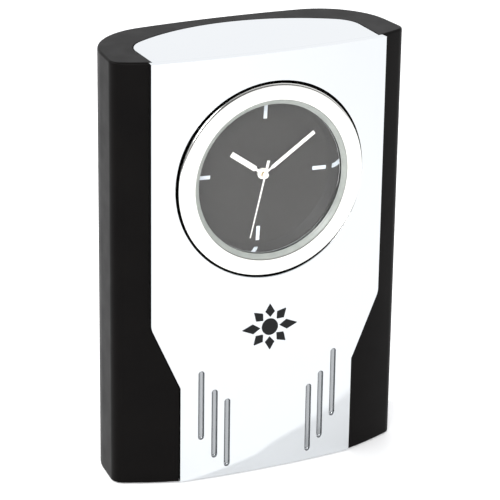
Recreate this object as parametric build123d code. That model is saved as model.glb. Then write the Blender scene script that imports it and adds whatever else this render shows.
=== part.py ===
"""Desk clock: a black D-plan housing behind a chromed front-and-top cover, with a round dial
insert, a battery quartz movement and a hinged back door. Millimetres, +Z up, front faces -Y."""
import os
from math import acos, cos, pi, radians, sin, sqrt, tan

from build123d import *

# ---- Driving dimensions. "Depth" is measured back from the front of the cover's face. ----
HEIGHT = 152.0
FRONT_Y = -22.9             # Y of depth 0, on the centre line
HOUSING_LIFT = 0.5          # the housing's rim stands this far above the table
WALL = 2.6
FIT_GAP = 0.35              # visible gap between a let-in piece and its pocket
EDGE_ROUND = 0.8

# Housing plan, a D with a bowed front
FRONT_ARC_R = 125.0
FRONT_ARC_DEPTH = -2.2      # depth of the bowed front on the centre line
BACK_ARC_R = 340.0
BACK_DEPTH = 46.1
SIDE_FRONT = (53.95, 12.0)  # the side wall runs through these two (x, depth) points
SIDE_BACK = (52.3, 30.0)
FRONT_CORNER_R = 4.5
BACK_CORNER_R = 25.0

# Chromed cover: a bowed face joined to a flat top
FACE_R = 355.0
FACE_THICK = 2.7
FACE_HALF_TOP = 43.1
FACE_HALF_BOTTOM = 32.7
FACE_KINK_HIGH = 59.1
FACE_KINK_LOW = 35.8
FACE_KINK_ROUND = 6.0
FACE_BOTTOM = 0.4
TOP_THICK = 2.0
TOP_HALF = 41.5
TOP_BACK_R = 67.5
TOP_BACK_DEPTH = 39.2
TOP_CORNER_R = 11.0
SLOT_WIDTH = 2.2
SLOT_LENGTH = 25.85
SLOTS = ((15.6, 3.7), (20.3, 7.8), (25.2, 15.4))    # (half spacing, bottom height)
COVER_BOSS_R = 2.8
COVER_BOSSES = ((36.0, 139.0), (37.5, 68.0), (22.0, 50.0), (26.0, 12.0))
COVER_SCREW_SEAT = 8.6      # depth of the flat seats inside the housing

# Dial insert, turned about the dial axis
DIAL_Z = 107.3
OPENING_R = 34.8
BEZEL_R = 34.05
BEZEL_LIP_R = 28.2
BEZEL_CREST = -0.1
BEZEL_EDGE = 0.15           # depth of the bezel's outer edge
BEZEL_SEAT = 4.5
SPIGOT_R = 30.9
SPIGOT_END = 12.0
GLASS_FRONT = 1.35
GLASS_THICK = 1.8
GLASS_R = 27.7
GLASS_EDGE_R = 26.55        # inner edge of the seal in front of the glass
REFLECTOR_FRONT_R = 26.45
REFLECTOR_BACK_R = 25.6
DIAL_FRONT = 9.3
DIAL_THICK = 0.8
DIAL_HOLE_R = 1.8
DIAL_TURN = 2.9             # degrees clockwise that the dial sits turned in the face
MARKER_INNER = 19.2
MARKER_OUTER = 24.3
MARKER_WIDTH = 1.3
MARKER_THICK = 0.25

# Hands
HOUR_ANGLE = 305.5          # degrees clockwise from twelve
MINUTE_ANGLE = 55.7
SECOND_ANGLE = 193.5
HAND_THICK = 0.25
HOUR_HAND_DEPTH = 8.15
MINUTE_HAND_DEPTH = 7.25
SECOND_HAND_DEPTH = 6.25
HOUR_BATON = (1.95, 14.5, 1.95, 0.9, 3.3)       # hub radius, length, width, neck width, blade start
MINUTE_BATON = (1.55, 22.6, 1.35, 0.7, 3.7)
SECOND_HUB_R = 1.0
SECOND_NEEDLE = (0.29, 0.17, 22.6)              # half width at the hub and at the tip, length
SECOND_TAIL = (0.95, 5.2)                       # width and length
HAND_CAP_R = 1.15
HAND_CAP_THICK = 0.35
HAND_CAP_DIMPLE = (0.3, 0.2)                    # radius and depth

# Movement: "m" is measured back from the front of its case
MOVEMENT = 13.6             # depth of the case front
CASE = 55.0
CASE_WALL = 1.5
CASE_DEEP = 15.5
BAY_TOP = -11.4             # top of the cell bay, relative to the dial axis
BUSH_R = 3.2
RUN_GAP = 0.06              # radial clearance of a running fit

# Wheel train: teeth and centre distances
PRESSURE = radians(20)
ADDENDUM = 0.6
DEDENDUM = 1.0
TOOTH_FILL = 0.84
HOUR_TEETH, REVERSE_PINION_TEETH = 40, 10
CANNON_TEETH, REVERSE_TEETH, SETTING_TEETH = 12, 36, 18
CENTRE_TEETH, THIRD_PINION_TEETH = 64, 8
SECOND_PINION_TEETH, THIRD_TEETH = 8, 60
SECOND_TEETH, MID_PINION_TEETH = 40, 8
ROTOR_TEETH, MID_TEETH = 8, 48
MOTION_CENTRES = 9.0
TRAIN_CENTRES = 9.6
ROTOR_CENTRES = 8.4
REVERSE_DIRECTION = 20.0    # degrees anticlockwise from +X, seen from the front
SETTING_DIRECTION = 25.0
THIRD_DIRECTION = 100.0
MID_DIRECTION = 190.0
ROTOR_DIRECTION = 150.0

# Planes of the wheels, each (front, back) in m
HOUR_PLANE = (2.0, 3.0)
HOUR_COLLAR = 3.3
CANNON_PLANE = (3.5, 4.9)
CANNON_COLLAR = (6.65, 6.95)
REVERSE_PLANE = (3.6, 4.8)
CLUTCH_PLANE = (5.15, 5.5)
CENTRE_PLANE = (5.6, 6.6)
THIRD_PINION_PLANE = (5.3, 7.4)
THIRD_PLANE = (7.4, 8.2)
SECOND_PINION_PLANE = (7.15, 9.0)
SECOND_PLANE = (9.0, 9.8)
MID_PINION_PLANE = (8.8, 10.6)
MID_PLANE = (10.6, 11.4)
ROTOR_PLANE = (10.4, 11.8)

# Back door
DOOR_THICK = 2.2
DOOR_HINGE_X = -29.0
DOOR_RIGHT_X = 30.6
DOOR_LOW = 74.4
DOOR_HIGH = 140.6
DOOR_GAP = 0.4
BARREL_R = 1.3
HINGE_PIN_R = 0.7
HINGE_PIN_LONG = 1.6

# Base
PAD_THICK = 1.3
BASE_PLATE_THICK = 2.5
BASE_POSTS = ((47.8, 16.5), (31.0, 39.0))
POST_R = 3.6
POST_HIGH = 22.0
BALLAST = (64.0, 21.0, 12.0)
BALLAST_DEPTH = 22.0
BALLAST_SCREW_X = 20.0


# ---- Shared helpers ----
def front_plane(depth):
    """A plane parallel to the dial whose sketches read as seen from the front."""
    return Plane(origin=(0, FRONT_Y + depth, 0), x_dir=(1, 0, 0), z_dir=(0, -1, 0))


def slab(sketch, near, far):
    """A front-view sketch given thickness from depth near to depth far."""
    return extrude(front_plane(far) * sketch, far - near)


def at_dial(sketch):
    return Pos(0, DIAL_Z) * sketch


def disc(radius, near, far, x=0.0, z=0.0):
    """A round disc, placed relative to the dial axis."""
    return slab(Pos(x, DIAL_Z + z) * Circle(radius), near, far)


def turned(points, rounded=()):
    """A ring turned about the dial axis from (radius, depth) corners."""
    face = make_face(Polyline(*points, close=True))
    for corner, radius in rounded:
        vertex = face.vertices().sort_by_distance((*points[corner], 0))[0]
        face = fillet(vertex, radius)
    return Pos(0, FRONT_Y, DIAL_Z) * revolve(face, Axis.Y)


def mslab(sketch, near, far):
    """A front-view sketch about the dial axis, thick from m near to m far."""
    return slab(at_dial(sketch), MOVEMENT + near, MOVEMENT + far)


def mdisc(radius, near, far, place=(0.0, 0.0)):
    return disc(radius, MOVEMENT + near, MOVEMENT + far, *place)


def polar(radius, angle):
    """A point at an angle anticlockwise from +X, seen from the front."""
    return (radius * cos(radians(angle)), radius * sin(radians(angle)))


def mirrored(points):
    return [(side * x, y) for x, y in points for side in (-1, 1)]


def plan_arc(radius, apex_depth, half_width, bulge):
    """A plan-view arc symmetric about X = 0; bulge is -1 towards the front, +1 to the back."""
    apex = FRONT_Y + apex_depth
    drop = radius - sqrt(radius ** 2 - half_width ** 2)
    edge = apex - bulge * drop
    return ThreePointArc((-half_width, edge), (0, apex), (half_width, edge))


def arc_depth(radius, apex_depth, x, bulge):
    """Depth of such an arc at X = x."""
    return apex_depth - bulge * (radius - sqrt(radius ** 2 - x ** 2))


def face_band(near, far):
    """The upright layer behind the cover's bowed face, between two depths."""
    half = 60.0
    front = plan_arc(FACE_R - near, near, half, -1)
    back = plan_arc(FACE_R - far, far, half, -1)
    left = Line(front @ 0, back @ 0)
    right = Line(front @ 1, back @ 1)
    plan = make_face([front, right, back, left])
    return Pos(0, 0, -1) * extrude(plan, HEIGHT + 2)


def back_band(near, far):
    """The upright layer in front of the housing's bowed back, between two insets."""
    half = 40.0
    outer = plan_arc(BACK_ARC_R - near, BACK_DEPTH - near, half, 1)
    inner = plan_arc(BACK_ARC_R - far, BACK_DEPTH - far, half, 1)
    left = Line(outer @ 0, inner @ 0)
    right = Line(outer @ 1, inner @ 1)
    plan = make_face([outer, right, inner, left])
    return extrude(plan, HEIGHT)


def housing_plan():
    """The D: bowed front, sides closing in towards the back, wide back corners."""
    x_front, d_front = SIDE_FRONT
    x_back, d_back = SIDE_BACK
    slope = (x_back - x_front) / (d_back - d_front)

    def side_x(depth):
        return x_front + slope * (depth - d_front)

    front_half = back_half = x_front
    for _ in range(20):
        front_half = side_x(arc_depth(FRONT_ARC_R, FRONT_ARC_DEPTH, front_half, -1))
        back_half = side_x(arc_depth(BACK_ARC_R, BACK_DEPTH, back_half, 1))
    front = plan_arc(FRONT_ARC_R, FRONT_ARC_DEPTH, front_half, -1)
    back = plan_arc(BACK_ARC_R, BACK_DEPTH, back_half, 1)
    plan = make_face([front, Line(front @ 1, back @ 1), back, Line(back @ 0, front @ 0)])
    corners = plan.vertices().sort_by(Axis.Y)
    plan = fillet(corners[:2], FRONT_CORNER_R)
    corners = plan.vertices().sort_by(Axis.Y)
    return fillet(corners[-2:], BACK_CORNER_R)


def face_outline(grow=0.0):
    """Front view of the chromed face: wide above, stepping in below."""
    top = HEIGHT + grow
    high, low = FACE_KINK_HIGH, FACE_KINK_LOW
    wide, narrow = FACE_HALF_TOP + grow, FACE_HALF_BOTTOM + grow
    bottom = FACE_BOTTOM - grow
    right = [(narrow, bottom), (narrow, low), (wide, high), (wide, top)]
    left = [(-x, z) for x, z in reversed(right)]
    face = make_face(Polyline(*right, *left, close=True))
    kinks = [v for v in face.vertices() if abs(v.Y - high) < 1]
    return fillet(kinks, FACE_KINK_ROUND)


def top_plan(grow=0.0):
    """Plan of the chromed top, from the face back to its bowed rear edge."""
    half = TOP_HALF + grow
    back = plan_arc(TOP_BACK_R + grow, TOP_BACK_DEPTH + grow, half, 1)
    front_y = FRONT_Y + FACE_THICK / 2
    left = Line(back @ 0, (-half, front_y))
    front = Line((-half, front_y), (half, front_y))
    right = Line((half, front_y), back @ 1)
    plan = make_face([back, right, front, left])
    corners = [v for v in plan.vertices() if v.Y > front_y + 1]
    return fillet(corners, TOP_CORNER_R + grow)


def gear_face(teeth, module, phase):
    """An involute wheel with one tooth centred at phase degrees."""
    pitch = module * teeth / 2
    base = pitch * cos(PRESSURE)
    tip = pitch + ADDENDUM * module
    root = pitch - DEDENDUM * module
    half_tooth = pi / 2 / teeth * TOOTH_FILL
    start = max(base, root)
    radii = [start + (tip - start) * step / 2 for step in range(3)]
    if root < base:
        radii.insert(0, root)
    flank = []
    for radius in radii:
        roll = acos(min(1.0, base / radius))
        angle = half_tooth + tan(PRESSURE) - PRESSURE - tan(roll) + roll
        flank.append((radius, angle))
    points = []
    for tooth in range(teeth):
        centre = radians(phase) + 2 * pi * tooth / teeth
        for radius, angle in flank:
            points.append((radius * cos(centre - angle), radius * sin(centre - angle)))
        for radius, angle in reversed(flank):
            points.append((radius * cos(centre + angle), radius * sin(centre + angle)))
    return make_face(Polyline(*points, close=True))


def wheel(teeth, module, phase, near, far, place=(0.0, 0.0)):
    return mslab(Pos(*place) * gear_face(teeth, module, phase), near, far)


def module_for(centres, teeth_a, teeth_b):
    return 2 * centres / (teeth_a + teeth_b)


def mating_phase(direction, teeth_a, phase_a, teeth_b):
    """Phase that puts wheel B, lying at direction from wheel A, in mesh with it."""
    along = (direction - phase_a) * teeth_a / 360
    return direction + 180 - 360 / teeth_b * (0.5 - along)


def screws(places, seat, head_far, tip_near, head_r, shank_r):
    """Cross-recessed screws driven from behind, as a list of solids."""
    made = []
    for x, z in places:
        centre = Pos(x, z)
        head = slab(centre * Circle(head_r), seat, head_far)
        shank = slab(centre * Circle(shank_r), tip_near, seat)
        cross = Rectangle(head_r * 1.1, head_r * 0.3) + Rectangle(head_r * 0.3, head_r * 1.1)
        made.append(head + shank - slab(centre * cross, head_far - head_r * 0.35, head_far))
    return made


def base_screw(x, depth, head_low, seat, tip, head_r, shank_r):
    """A screw driven upwards from under the base."""
    place = Pos(x, FRONT_Y + depth)
    head = place * Pos(0, 0, head_low) * extrude(Circle(head_r), seat - head_low)
    shank = place * Pos(0, 0, seat) * extrude(Circle(shank_r), tip - seat)
    cross = Rectangle(head_r * 1.1, head_r * 0.3) + Rectangle(head_r * 0.3, head_r * 1.1)
    return head + shank - place * Pos(0, 0, head_low) * extrude(cross, head_r * 0.35)


def group(solids):
    return Compound(children=list(solids))


# ---- Housing and base ----
PLATE_TOP = PAD_THICK + BASE_PLATE_THICK
ROOF_LOW = HEIGHT - TOP_THICK - WALL
WALL_BACK = FACE_THICK + WALL


def cavity_plan(shrink):
    """The room inside the housing's walls, less shrink all round."""
    inner = offset(housing_plan(), -WALL - shrink)
    half = 60.0
    front = plan_arc(FACE_R - WALL_BACK - shrink, WALL_BACK + shrink, half, -1)
    far = FRONT_Y + BACK_DEPTH + WALL
    left = Line(front @ 0, (-half, far))
    back = Line((-half, far), (half, far))
    right = Line((half, far), front @ 1)
    return inner & make_face([front, right, back, left])


def hinge_axis():
    """Plan point of the door's upright hinge axis."""
    depth = arc_depth(BACK_ARC_R, BACK_DEPTH, DOOR_HINGE_X, 1) - BARREL_R
    return (DOOR_HINGE_X, FRONT_Y + depth)


def make_housing():
    rise = HEIGHT - HOUSING_LIFT
    outer = Pos(0, 0, HOUSING_LIFT) * extrude(housing_plan(), rise)
    outer = fillet(outer.edges().filter_by(Plane.XY).group_by(Axis.Z)[-1], EDGE_ROUND)
    body = outer - extrude(cavity_plan(0), ROOF_LOW)
    for x, z in mirrored(COVER_BOSSES):
        body += slab(Pos(x, z) * Circle(COVER_BOSS_R + WALL), WALL_BACK, COVER_SCREW_SEAT)
    body += disc(OPENING_R + WALL, FACE_THICK, BEZEL_SEAT + WALL + FIT_GAP)
    for x, depth in mirrored(BASE_POSTS):
        post = Pos(x, FRONT_Y + depth, PLATE_TOP) * extrude(Circle(POST_R), POST_HIGH - PLATE_TOP)
        body += post & outer
    for x, depth in mirrored(BASE_POSTS):
        body -= Pos(x, FRONT_Y + depth, 0) * extrude(Circle(BASE_SCREW_R), POST_HIGH - WALL)
    pocket = slab(face_outline(FIT_GAP), FRONT_ARC_DEPTH - 1, COVER_SCREW_SEAT)
    body -= pocket & face_band(-5, FACE_THICK + RUN_GAP)
    recess_low = HEIGHT - TOP_THICK - RUN_GAP
    body -= Pos(0, 0, recess_low) * extrude(top_plan(FIT_GAP), HEIGHT - recess_low)
    for x, z in mirrored(COVER_BOSSES):
        body -= slab(Pos(x, z) * Circle(COVER_BOSS_R + FIT_GAP), 0, COVER_SCREW_SEAT)
    body -= disc(OPENING_R, 0, BEZEL_SEAT)
    body -= disc(SPIGOT_R + FIT_GAP, 0, BEZEL_SEAT + 2 * WALL)
    left = DOOR_HINGE_X - BARREL_R - DOOR_GAP
    right = DOOR_RIGHT_X + DOOR_GAP
    low, high = DOOR_LOW - DOOR_GAP, DOOR_HIGH + DOOR_GAP
    window = Pos((left + right) / 2, (low + high) / 2) * Rectangle(right - left, high - low)
    body -= slab(window, BACK_DEPTH - 3 * WALL, BACK_DEPTH + 1)
    pin_rise = DOOR_HIGH - DOOR_LOW + 2 * (HINGE_PIN_LONG + DOOR_GAP)
    pin_low = DOOR_LOW - HINGE_PIN_LONG - DOOR_GAP
    x, y = hinge_axis()
    body -= Pos(x, y, pin_low) * extrude(Circle(HINGE_PIN_R + RUN_GAP), pin_rise)
    return body


BASE_SCREW_R = 1.3
BASE_HEAD_R = 2.8
HEAD_SINK = 1.2
BALLAST_SCREW_R = 1.8
BALLAST_HEAD_R = 3.2


def base_places():
    """Every base screw: (x, depth, shank radius, head radius)."""
    posts = [(x, depth, BASE_SCREW_R, BASE_HEAD_R) for x, depth in mirrored(BASE_POSTS)]
    weight = [(side * BALLAST_SCREW_X, BALLAST_DEPTH, BALLAST_SCREW_R, BALLAST_HEAD_R) for side in (-1, 1)]
    return posts + weight


def make_base_plate():
    plate = Pos(0, 0, PAD_THICK) * extrude(cavity_plan(0.2), BASE_PLATE_THICK)
    for x, depth, shank_r, head_r in base_places():
        place = Pos(x, FRONT_Y + depth, 0)
        plate -= place * extrude(Circle(shank_r), PLATE_TOP)
        plate -= place * extrude(Circle(head_r + 0.2), PAD_THICK + HEAD_SINK)
    return plate


def make_base_pad():
    return extrude(cavity_plan(0.4), PAD_THICK)


def make_base_screws():
    seat = PAD_THICK + HEAD_SINK
    tip = POST_HIGH - 2 * WALL
    return group(base_screw(x, depth, PAD_THICK, seat, tip, BASE_HEAD_R, BASE_SCREW_R)
                 for x, depth in mirrored(BASE_POSTS))


def make_ballast():
    length, deep, high = BALLAST
    block = Pos(0, FRONT_Y + BALLAST_DEPTH, PLATE_TOP) * extrude(RectangleRounded(length, deep, 3), high)
    for side in (-1, 1):
        hole = Pos(side * BALLAST_SCREW_X, FRONT_Y + BALLAST_DEPTH, 0)
        block -= hole * extrude(Circle(BALLAST_SCREW_R), PLATE_TOP + high)
    return block


def make_ballast_screws():
    seat = PAD_THICK + HEAD_SINK
    tip = PLATE_TOP + BALLAST[2] - 2
    return group(base_screw(side * BALLAST_SCREW_X, BALLAST_DEPTH, PAD_THICK, seat, tip,
                            BALLAST_HEAD_R, BALLAST_SCREW_R) for side in (-1, 1))


# ---- Chromed cover and emblem ----
COVER_SCREW_R = 1.3
COVER_HEAD_R = 3.2


def slot_cutter():
    """A round-ended rod standing on the origin."""
    radius = SLOT_WIDTH / 2
    straight = SLOT_LENGTH - radius
    low_end = RadiusArc((0, 0), (-radius, radius), -radius)
    side = Line((-radius, radius), (-radius, straight))
    high_end = RadiusArc((-radius, straight), (0, SLOT_LENGTH), -radius)
    spine = Line((0, SLOT_LENGTH), (0, 0))
    half = make_face([low_end, side, high_end, spine])
    upright = Rot(0, 0, 90) * Rot(90, 0, 0) * half
    return revolve(upright, Axis.Z)


def make_front_cover():
    face = slab(face_outline(), -1, 3 * FACE_THICK) & face_band(0, FACE_THICK)
    top = Pos(0, 0, HEIGHT - TOP_THICK) * extrude(top_plan(), TOP_THICK)
    cover = face + (top & face_band(0, BACK_DEPTH))
    for x, z in mirrored(COVER_BOSSES):
        start = arc_depth(FACE_R, FACE_THICK, x, -1) - FACE_THICK / 3
        cover += slab(Pos(x, z) * Circle(COVER_BOSS_R), start, COVER_SCREW_SEAT - 0.3)
        cover -= slab(Pos(x, z) * Circle(COVER_SCREW_R), start + 0.4, COVER_SCREW_SEAT)
    cover -= disc(OPENING_R, -1, 3 * FACE_THICK)
    for x, low in mirrored(SLOTS):
        surface = arc_depth(FACE_R, 0, x, -1)
        cover -= Pos(x, FRONT_Y + surface, low) * slot_cutter()
    return cover


def make_cover_screws():
    seat = COVER_SCREW_SEAT
    return group(screws(mirrored(COVER_BOSSES), seat, seat + 1.8, seat - 3.6, COVER_HEAD_R, COVER_SCREW_R))


EMBLEM_Z = 54.0
EMBLEM_HALF = (10.4, 8.5)
EMBLEM_THICK = 0.3
EMBLEM_DISC_R = 3.0
EMBLEM_RAY_HALF = 1.75
EMBLEM_RAYS = 8


def make_emblem():
    """A plain eight-ray sun in thin dark sheet, wider than it is tall."""
    half_wide, half_tall = EMBLEM_HALF
    sun = Circle(EMBLEM_DISC_R)
    rays = []
    for ray in range(EMBLEM_RAYS):
        angle = 360 / EMBLEM_RAYS * ray
        reach = half_wide if ray % 4 == 0 else half_tall
        start = EMBLEM_DISC_R + 0.7
        swell = start + (reach - start) * 0.4
        outline = Polyline((start, 0), (swell, EMBLEM_RAY_HALF), (reach, 0), (swell, -EMBLEM_RAY_HALF), close=True)
        rays.append(Rot(0, 0, angle) * make_face(outline))
    layer = face_band(-EMBLEM_THICK, 0)
    pieces = [slab(Pos(0, EMBLEM_Z) * piece, -2, 2) & layer for piece in [sun, *rays]]
    return group(solid for piece in pieces for solid in piece.solids())


# ---- Dial insert ----
def make_bezel():
    outline = [(BEZEL_LIP_R, BEZEL_CREST), (BEZEL_R, BEZEL_EDGE), (BEZEL_R, BEZEL_SEAT), (SPIGOT_R, BEZEL_SEAT),
               (SPIGOT_R, SPIGOT_END), (BEZEL_LIP_R, SPIGOT_END)]
    ring = turned(outline, ((0, 0.3), (1, 0.6)))
    for x, z in CARRIER_SCREWS:
        ring -= disc(CARRIER_SCREW_R, SPIGOT_END - 4, SPIGOT_END, x, z)
    return ring


def make_glass_gasket():
    outer = BEZEL_LIP_R - 0.05
    back = GLASS_FRONT + GLASS_THICK
    lip = GLASS_FRONT - 0.15
    return turned([(outer, 0.05), (outer, back), (GLASS_R + 0.05, back), (GLASS_R + 0.05, GLASS_FRONT),
                   (GLASS_EDGE_R, GLASS_FRONT), (GLASS_EDGE_R, lip)])


def make_glass():
    return disc(GLASS_R, GLASS_FRONT, GLASS_FRONT + GLASS_THICK)


def make_reflector_ring():
    near = GLASS_FRONT + GLASS_THICK
    outer = BEZEL_LIP_R - 0.05
    return turned([(outer, near), (outer, DIAL_FRONT), (REFLECTOR_BACK_R, DIAL_FRONT), (REFLECTOR_FRONT_R, near)])


def make_dial():
    back = DIAL_FRONT + DIAL_THICK
    return disc(BEZEL_LIP_R - 0.1, DIAL_FRONT, back) - disc(DIAL_HOLE_R, DIAL_FRONT, back)


def make_hour_markers():
    length = MARKER_OUTER - MARKER_INNER
    middle = (MARKER_OUTER + MARKER_INNER) / 2
    markers = []
    for quarter in range(4):
        bar = Rot(0, 0, 90 * quarter - DIAL_TURN) * Pos(middle, 0) * Rectangle(length, MARKER_WIDTH)
        markers.append(slab(at_dial(bar), DIAL_FRONT - MARKER_THICK, DIAL_FRONT))
    return group(markers)


CARRIER_SCREW_R = 0.8
CARRIER_HEAD_R = 1.2
CARRIER_SCREWS = [polar((SPIGOT_R + BEZEL_LIP_R) / 2, angle) for angle in (90, 210, 330)]
CARRIER_NEAR = DIAL_FRONT + DIAL_THICK
WEB_NEAR = SPIGOT_END + 0.05
NUT_R = 5.6
NUT_NEAR = 10.3
NUT_FAR = 11.8


def make_dial_carrier():
    """Tray behind the dial: rim and hub carry the dial, the web takes the movement."""
    rim = disc(BEZEL_LIP_R - 0.1, CARRIER_NEAR, WEB_NEAR) - disc(BEZEL_LIP_R - WALL, CARRIER_NEAR, WEB_NEAR)
    hub = disc(NUT_R + WALL, CARRIER_NEAR, WEB_NEAR) - disc(NUT_R + 0.6, CARRIER_NEAR, NUT_FAR)
    web = disc(SPIGOT_R, WEB_NEAR, MOVEMENT)
    carrier = rim + web + hub
    carrier -= disc(BUSH_R + 0.1, CARRIER_NEAR, MOVEMENT)
    for x, z in CARRIER_SCREWS:
        carrier -= disc(CARRIER_SCREW_R, WEB_NEAR, MOVEMENT, x, z)
        carrier -= disc(CARRIER_HEAD_R + 0.1, WEB_NEAR + 0.5, MOVEMENT, x, z)
    return carrier


def make_carrier_screws():
    places = [(x, DIAL_Z + z) for x, z in CARRIER_SCREWS]
    seat = WEB_NEAR + 0.5
    return group(screws(places, seat, MOVEMENT - 0.1, SPIGOT_END - 3.5, CARRIER_HEAD_R, CARRIER_SCREW_R))


def make_clamp_ring():
    """Ring nut that draws the insert back against the housing's front wall."""
    near = BEZEL_SEAT + WALL + FIT_GAP
    far = near + 3.0
    ring = disc(OPENING_R, near, far) - disc(SPIGOT_R + RUN_GAP, near, far)
    for notch in range(8):
        x, z = polar(OPENING_R, 45 * notch + 22.5)
        ring -= disc(1.6, near + 1.2, far, x, z)
    return ring


def make_movement_nut():
    nut = disc(NUT_R, NUT_NEAR, NUT_FAR) - disc(BUSH_R, NUT_NEAR, NUT_FAR)
    for angle in (0, 90):
        slot = Rot(0, 0, angle) * Rectangle(2 * NUT_R + 1, 1.2)
        nut -= slab(at_dial(slot), NUT_NEAR, NUT_NEAR + 0.7)
    return nut


# ---- Train geometry ----
REVERSE_AT = polar(MOTION_CENTRES, REVERSE_DIRECTION)
THIRD_AT = polar(TRAIN_CENTRES, THIRD_DIRECTION)
MID_AT = polar(TRAIN_CENTRES, MID_DIRECTION)
MOTION_MODULE = module_for(MOTION_CENTRES, CANNON_TEETH, REVERSE_TEETH)
HOUR_MODULE = module_for(MOTION_CENTRES, HOUR_TEETH, REVERSE_PINION_TEETH)
CENTRE_MODULE = module_for(TRAIN_CENTRES, CENTRE_TEETH, THIRD_PINION_TEETH)
THIRD_MODULE = module_for(TRAIN_CENTRES, THIRD_TEETH, SECOND_PINION_TEETH)
SECOND_MODULE = module_for(TRAIN_CENTRES, SECOND_TEETH, MID_PINION_TEETH)
ROTOR_MODULE = module_for(ROTOR_CENTRES, MID_TEETH, ROTOR_TEETH)
SETTING_CENTRES = MOTION_MODULE * (REVERSE_TEETH + SETTING_TEETH) / 2


def beyond(place, radius, angle):
    x, z = polar(radius, angle)
    return (place[0] + x, place[1] + z)


SETTING_AT = beyond(REVERSE_AT, SETTING_CENTRES, SETTING_DIRECTION)
ROTOR_AT = beyond(MID_AT, ROTOR_CENTRES, ROTOR_DIRECTION)
HOUR_PIPE_R = 1.5
MINUTE_PIPE_R = 1.0
SECOND_ARBOR_R = 0.4
ARBOR_R = 0.45
PIVOT_R = 0.25
PIVOT_LONG = 0.8
POST_PIN_R = 0.7
SETTING_R = 1.5
FLOOR = CASE_WALL
LID = CASE_DEEP - CASE_WALL


def arbor(place, near=FLOOR, far=LID, radius=ARBOR_R):
    """A spindle with a fine pivot at each end."""
    start, stop = near + RUN_GAP, far - RUN_GAP
    spindle = mdisc(radius, start, stop, place)
    return spindle + mdisc(PIVOT_R, start - PIVOT_LONG, stop + PIVOT_LONG, place)


def make_hour_wheel():
    phase = mating_phase(REVERSE_DIRECTION + 180, REVERSE_PINION_TEETH, 0, HOUR_TEETH)
    made = wheel(HOUR_TEETH, HOUR_MODULE, phase, *HOUR_PLANE)
    made += mdisc(2.6, FLOOR + RUN_GAP, HOUR_COLLAR)
    made += mdisc(HOUR_PIPE_R, HOUR_HAND_DEPTH - 0.2 - MOVEMENT, HOUR_COLLAR)
    return made - mdisc(MINUTE_PIPE_R + RUN_GAP, -MOVEMENT, CASE_DEEP)


def make_reverse_wheel():
    phase = mating_phase(REVERSE_DIRECTION, CANNON_TEETH, REVERSE_DIRECTION, REVERSE_TEETH)
    made = wheel(REVERSE_TEETH, MOTION_MODULE, phase, *REVERSE_PLANE, REVERSE_AT)
    made += wheel(REVERSE_PINION_TEETH, HOUR_MODULE, 0, FLOOR + RUN_GAP, REVERSE_PLANE[0], REVERSE_AT)
    return made - mdisc(POST_PIN_R + RUN_GAP, 0, CASE_DEEP, REVERSE_AT)


def make_cannon_pinion():
    made = wheel(CANNON_TEETH, MOTION_MODULE, REVERSE_DIRECTION, *CANNON_PLANE)
    made += mdisc(MINUTE_PIPE_R, MINUTE_HAND_DEPTH - 0.15 - MOVEMENT, CANNON_COLLAR[1] - 0.05)
    made += mdisc(1.9, *CANNON_COLLAR)
    return made - mdisc(SECOND_ARBOR_R + RUN_GAP, -MOVEMENT, CASE_DEEP)


def make_clutch_spring():
    return mslab(Circle(2.1) - Circle(MINUTE_PIPE_R), *CLUTCH_PLANE)


def make_centre_wheel():
    made = wheel(CENTRE_TEETH, CENTRE_MODULE, THIRD_DIRECTION, *CENTRE_PLANE)
    lightening = [Pos(*polar(5.2, 90 * spoke + 45)) * Circle(1.7) for spoke in range(4)]
    made -= mslab(Sketch() + lightening, *CENTRE_PLANE)
    return made - mdisc(MINUTE_PIPE_R + RUN_GAP, 5, 7)


def make_third_wheel():
    pinion_phase = mating_phase(THIRD_DIRECTION, CENTRE_TEETH, THIRD_DIRECTION, THIRD_PINION_TEETH)
    wheel_phase = mating_phase(THIRD_DIRECTION, SECOND_PINION_TEETH, THIRD_DIRECTION, THIRD_TEETH)
    made = arbor(THIRD_AT)
    made += wheel(THIRD_PINION_TEETH, CENTRE_MODULE, pinion_phase, *THIRD_PINION_PLANE, THIRD_AT)
    return made + wheel(THIRD_TEETH, THIRD_MODULE, wheel_phase, *THIRD_PLANE, THIRD_AT)


def make_second_wheel():
    wheel_phase = mating_phase(MID_DIRECTION + 180, MID_PINION_TEETH, 0, SECOND_TEETH)
    made = wheel(SECOND_PINION_TEETH, THIRD_MODULE, THIRD_DIRECTION, *SECOND_PINION_PLANE)
    made += wheel(SECOND_TEETH, SECOND_MODULE, wheel_phase, *SECOND_PLANE)
    made += mdisc(SECOND_ARBOR_R, SECOND_HAND_DEPTH - 0.1 - MOVEMENT, LID - RUN_GAP)
    return made + mdisc(PIVOT_R, LID - 1, LID + PIVOT_LONG)


def make_intermediate_wheel():
    wheel_phase = mating_phase(ROTOR_DIRECTION + 180, ROTOR_TEETH, 0, MID_TEETH)
    made = arbor(MID_AT)
    made += wheel(MID_PINION_TEETH, SECOND_MODULE, 0, *MID_PINION_PLANE, MID_AT)
    return made + wheel(MID_TEETH, ROTOR_MODULE, wheel_phase, *MID_PLANE, MID_AT)


MAGNET_R = 2.6
MAGNET_NEAR, MAGNET_FAR = 11.9, 13.5


def make_rotor():
    made = arbor(ROTOR_AT)
    return made + wheel(ROTOR_TEETH, ROTOR_MODULE, 0, *ROTOR_PLANE, ROTOR_AT)


def make_rotor_magnet():
    return mdisc(MAGNET_R, MAGNET_NEAR, MAGNET_FAR, ROTOR_AT) - mdisc(ARBOR_R, MAGNET_NEAR, MAGNET_FAR, ROTOR_AT)


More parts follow.
